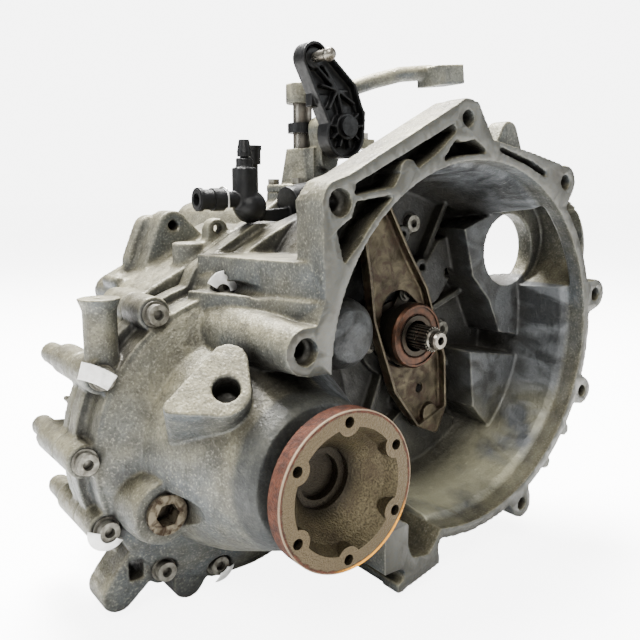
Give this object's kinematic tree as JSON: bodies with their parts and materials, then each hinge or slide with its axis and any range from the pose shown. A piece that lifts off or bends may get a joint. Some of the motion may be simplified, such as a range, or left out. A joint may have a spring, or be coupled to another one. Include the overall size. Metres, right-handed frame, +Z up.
{
  "type": "manual transmission",
  "caption": "Transverse manual transmission: bell housing, two-shaft gear train, differential with drive flanges, clutch release and shift linkage.",
  "frame": {"origin": "where the input shaft's axis meets the bell housing's engine face", "axes": "+Y along the input shaft from the engine towards the end cover, +Z up, +X towards the starter side"},
  "size_m": [0.4699, 0.3926, 0.4064],
  "materials": {
    "cast_aluminium": "sand-cast, weathered",
    "steel": "machined",
    "cast_iron": "as cast",
    "pressed_steel": "pressed, lightly rusted",
    "rusty_steel": "machined face, rusty rim",
    "brass": "machined",
    "rubber": "matt",
    "black_plastic": "glass-filled nylon"
  },
  "bodies": {
    "housing": {"clutch_housing": "cast_aluminium", "gearbox_housing": "cast_aluminium", "end_cover": "cast_aluminium", "case_bolts": "steel", "filler_plug": "steel", "guide_sleeve": "steel", "m6_bolts": "steel", "shaft_bearings": "steel", "differential_bearings": "steel", "flange_seals": "rubber", "reverse_idler_shaft": "steel", "release_ball_stud": "steel", "slave_cylinder_body": "black_plastic", "slave_fittings": "black_plastic", "shift_cover": "cast_aluminium", "relay_lever_pin": "steel", "selector_ball_pin": "steel", "breather": "black_plastic"},
    "input_shaft": {"input_shaft": "steel", "input_bearing_inner_rings": "steel", "hubs_3_4_and_5": "steel", "synchro_rings_3_4_5": "brass"},
    "output_shaft": {"output_shaft": "steel", "output_bearing_inner_rings": "steel", "driven_gears_3_4_5": "steel", "hub_1_2": "steel", "synchro_rings_1_2": "brass"},
    "first_gear": {"first_gear": "steel"},
    "second_gear": {"second_gear": "steel"},
    "third_gear": {"third_gear": "steel"},
    "fourth_gear": {"fourth_gear": "steel"},
    "fifth_gear": {"fifth_gear": "steel"},
    "sleeve_1_2": {"sleeve_1_2": "steel"},
    "sleeve_3_4": {"sleeve_3_4": "steel"},
    "sleeve_5": {"sleeve_5": "steel"},
    "reverse_shift": {"reverse_shift_rod": "steel"},
    "reverse_idler": {"reverse_idler_gear": "steel"},
    "differential": {"differential_case": "cast_iron", "ring_gear": "steel", "ring_gear_bolts": "steel", "cross_pin": "steel", "differential_inner_rings": "steel"},
    "left_flange": {"left_drive_flange": "rusty_steel", "left_side_gear": "steel"},
    "right_flange": {"right_drive_flange": "rusty_steel", "right_side_gear": "steel"},
    "bevel_a": {"bevel_pinion_a": "steel"},
    "bevel_b": {"bevel_pinion_b": "steel"},
    "release_lever": {"release_lever": "pressed_steel"},
    "release_bearing": {"release_bearing": "steel"},
    "slave_piston": {"slave_cylinder_piston": "steel"},
    "select_shoe": {"select_shoe": "black_plastic"},
    "selector": {"selector_shaft": "steel", "counterweight_lever": "cast_aluminium"},
    "relay_lever": {"relay_lever": "black_plastic", "relay_ball_pin": "steel"},
    "fork_1_2": {"fork_1_2": "cast_iron"},
    "fork_3_4": {"fork_3_4": "cast_iron"},
    "fork_5": {"fork_5": "cast_iron"}
  },
  "joints": [
    {"name": "input_spin", "type": "hinge", "parent": "housing", "child": "input_shaft", "pos_m": [0, 0, 0], "axis": [0, 1, 0], "continuous": true},
    {"name": "output_spin", "type": "hinge", "parent": "housing", "child": "output_shaft", "pos_m": [-0.068, 0, 0.008], "axis": [0, 1, 0], "continuous": true},
    {"name": "first_gear_spin", "type": "hinge", "parent": "housing", "child": "first_gear", "pos_m": [-0.068, 0, 0.008], "axis": [0, 1, 0], "continuous": true},
    {"name": "second_gear_spin", "type": "hinge", "parent": "housing", "child": "second_gear", "pos_m": [-0.068, 0, 0.008], "axis": [0, 1, 0], "continuous": true},
    {"name": "third_gear_spin", "type": "hinge", "parent": "housing", "child": "third_gear", "pos_m": [0, 0, 0], "axis": [0, 1, 0], "continuous": true},
    {"name": "fourth_gear_spin", "type": "hinge", "parent": "housing", "child": "fourth_gear", "pos_m": [0, 0, 0], "axis": [0, 1, 0], "continuous": true},
    {"name": "fifth_gear_spin", "type": "hinge", "parent": "housing", "child": "fifth_gear", "pos_m": [0, 0, 0], "axis": [0, 1, 0], "continuous": true},
    {"name": "reverse_slide", "type": "slide", "parent": "housing", "child": "reverse_shift", "axis": [0, 1, 0], "range_m": [0, 0.019]},
    {"name": "reverse_idler_spin", "type": "hinge", "parent": "reverse_shift", "child": "reverse_idler", "pos_m": [-0.0143, 0, -0.0389], "axis": [0, 1, 0], "continuous": true},
    {"name": "differential_spin", "type": "hinge", "parent": "housing", "child": "differential", "pos_m": [-0.147, 0, -0.062], "axis": [0, 1, 0], "continuous": true},
    {"name": "left_flange_spin", "type": "hinge", "parent": "differential", "child": "left_flange", "pos_m": [-0.147, 0, -0.062], "axis": [0, 1, 0], "continuous": true},
    {"name": "right_flange_spin", "type": "hinge", "parent": "differential", "child": "right_flange", "pos_m": [-0.147, 0, -0.062], "axis": [0, 1, 0], "continuous": true},
    {"name": "bevel_a_spin", "type": "hinge", "parent": "differential", "child": "bevel_a", "pos_m": [-0.147, 0.104, -0.062], "axis": [1, 0, 0], "continuous": true},
    {"name": "bevel_b_spin", "type": "hinge", "parent": "differential", "child": "bevel_b", "pos_m": [-0.147, 0.104, -0.062], "axis": [1, 0, 0], "continuous": true},
    {"name": "release_lever_turn", "type": "hinge", "parent": "housing", "child": "release_lever", "pos_m": [0.028, 0.084, -0.072], "axis": [0.9336, 0, 0.3584], "range_deg": [0, 4]},
    {"name": "release_bearing_slide", "type": "slide", "parent": "housing", "child": "release_bearing", "axis": [0, -1, 0], "range_m": [0, 0.006]},
    {"name": "slave_piston_slide", "type": "slide", "parent": "housing", "child": "slave_piston", "axis": [0, -1, 0], "range_m": [0, 0.0145]},
    {"name": "select_lift", "type": "slide", "parent": "housing", "child": "select_shoe", "axis": [0, 0, 1], "range_m": [-0.0121, 0.0121]},
    {"name": "selector_turn", "type": "hinge", "parent": "select_shoe", "child": "selector", "pos_m": [-0.036, 0.168, 0.167], "axis": [0, 0, 1], "range_deg": [-18, 18]},
    {"name": "relay_lever_turn", "type": "hinge", "parent": "housing", "child": "relay_lever", "pos_m": [-0.031, 0.121, 0.165], "axis": [0, 1, 0], "range_deg": [-15, 15]},
    {"name": "fork_1_2_slide", "type": "slide", "parent": "housing", "child": "fork_1_2", "axis": [0, 1, 0], "range_m": [-0.008, 0.008]},
    {"name": "sleeve_1_2_slide", "type": "slide", "parent": "output_shaft", "child": "sleeve_1_2", "axis": [0, 1, 0], "range_m": [-0.008, 0.008]},
    {"name": "fork_3_4_slide", "type": "slide", "parent": "housing", "child": "fork_3_4", "axis": [0, 1, 0], "range_m": [-0.0071, 0.0071]},
    {"name": "sleeve_3_4_slide", "type": "slide", "parent": "input_shaft", "child": "sleeve_3_4", "axis": [0, 1, 0], "range_m": [-0.0071, 0.0071]},
    {"name": "fork_5_slide", "type": "slide", "parent": "housing", "child": "fork_5", "axis": [0, 1, 0], "range_m": [-0.007, 0]},
    {"name": "sleeve_5_slide", "type": "slide", "parent": "input_shaft", "child": "sleeve_5", "axis": [0, 1, 0], "range_m": [-0.007, 0]}
  ],
  "couplings": [
    {"joint": "first_gear_spin", "follows": "input_spin", "ratio": -0.26316},
    {"joint": "second_gear_spin", "follows": "input_spin", "ratio": -0.45455},
    {"joint": "reverse_idler_spin", "follows": "input_spin", "ratio": -0.70588},
    {"joint": "third_gear_spin", "follows": "output_spin", "ratio": -1.4},
    {"joint": "fourth_gear_spin", "follows": "output_spin", "ratio": -1.087},
    {"joint": "fifth_gear_spin", "follows": "output_spin", "ratio": -0.84615},
    {"joint": "differential_spin", "follows": "output_spin", "ratio": -0.25714},
    {"joint": "right_flange_spin", "follows": "left_flange_spin", "ratio": -1},
    {"joint": "bevel_a_spin", "follows": "left_flange_spin", "ratio": 1.4},
    {"joint": "bevel_b_spin", "follows": "left_flange_spin", "ratio": -1.4},
    {"joint": "release_bearing_slide", "follows": "release_lever_turn", "m_per_rad": 0.077},
    {"joint": "slave_piston_slide", "follows": "release_lever_turn", "m_per_rad": 0.197},
    {"joint": "select_lift", "follows": "relay_lever_turn", "m_per_rad": 0.0458},
    {"joint": "fork_3_4_slide", "follows": "selector_turn", "m_per_rad": 0.0222},
    {"joint": "sleeve_3_4_slide", "follows": "selector_turn", "m_per_rad": 0.0222},
    {"joint": "sleeve_1_2_slide", "follows": "fork_1_2_slide", "ratio": 1},
    {"joint": "sleeve_5_slide", "follows": "fork_5_slide", "ratio": 1}
  ]
}
